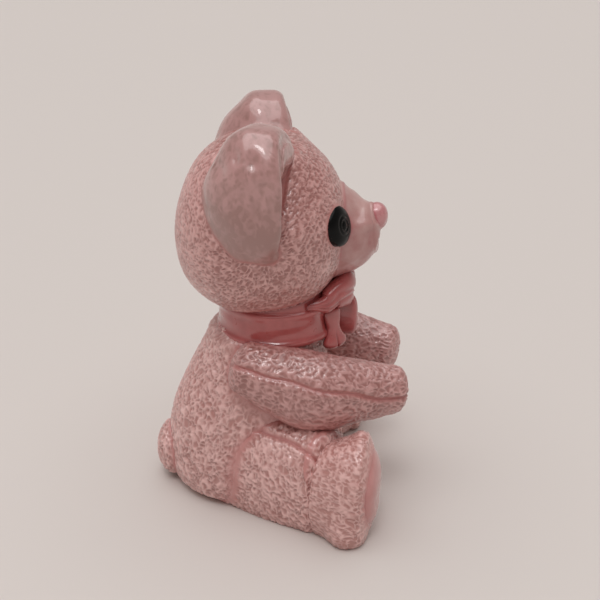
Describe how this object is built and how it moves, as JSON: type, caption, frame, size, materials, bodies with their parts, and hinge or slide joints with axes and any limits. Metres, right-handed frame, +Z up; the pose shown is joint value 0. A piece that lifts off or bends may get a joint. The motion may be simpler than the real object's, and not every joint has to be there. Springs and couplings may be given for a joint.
{
  "type": "ceramic bear figurine",
  "caption": "Seated glazed ceramic bear ornament with a hollow body, textured coat, smooth muzzle and neck bow.",
  "frame": {"origin": "The middle of the bear's width and length, on the plane that it sits on.", "axes": "+Z is up, -Y is the way the bear faces, and +X is towards its left side."},
  "size_m": [0.0924, 0.0832, 0.128],
  "materials": {
    "fur_glaze": "glossy pink glaze over a sculpted coat",
    "muzzle_glaze": "glossy smooth pale pink glaze",
    "pad_glaze": "glossy smooth rose glaze",
    "ribbon_glaze": "glossy smooth deep pink glaze",
    "nose_glaze": "glossy rose glaze",
    "eye_glaze": "high gloss black glaze"
  },
  "bodies": {
    "root": {"arm_left": "fur_glaze", "arm_right": "fur_glaze", "bow_knot": "ribbon_glaze", "bow_loop_left": "ribbon_glaze", "bow_loop_right": "ribbon_glaze", "bow_tail_left": "ribbon_glaze", "bow_tail_right": "ribbon_glaze", "ear_left": "fur_glaze", "ear_right": "fur_glaze", "eye_left": "eye_glaze", "eye_right": "eye_glaze", "foot_left": "fur_glaze", "foot_right": "fur_glaze", "head_casting": "fur_glaze", "leg_left": "fur_glaze", "leg_right": "fur_glaze", "muzzle": "muzzle_glaze", "nose": "nose_glaze", "ribbon_band": "ribbon_glaze", "sole_pad_left": "pad_glaze", "sole_pad_right": "pad_glaze", "tail": "fur_glaze", "torso_casting": "fur_glaze"}
  },
  "joints": []
}
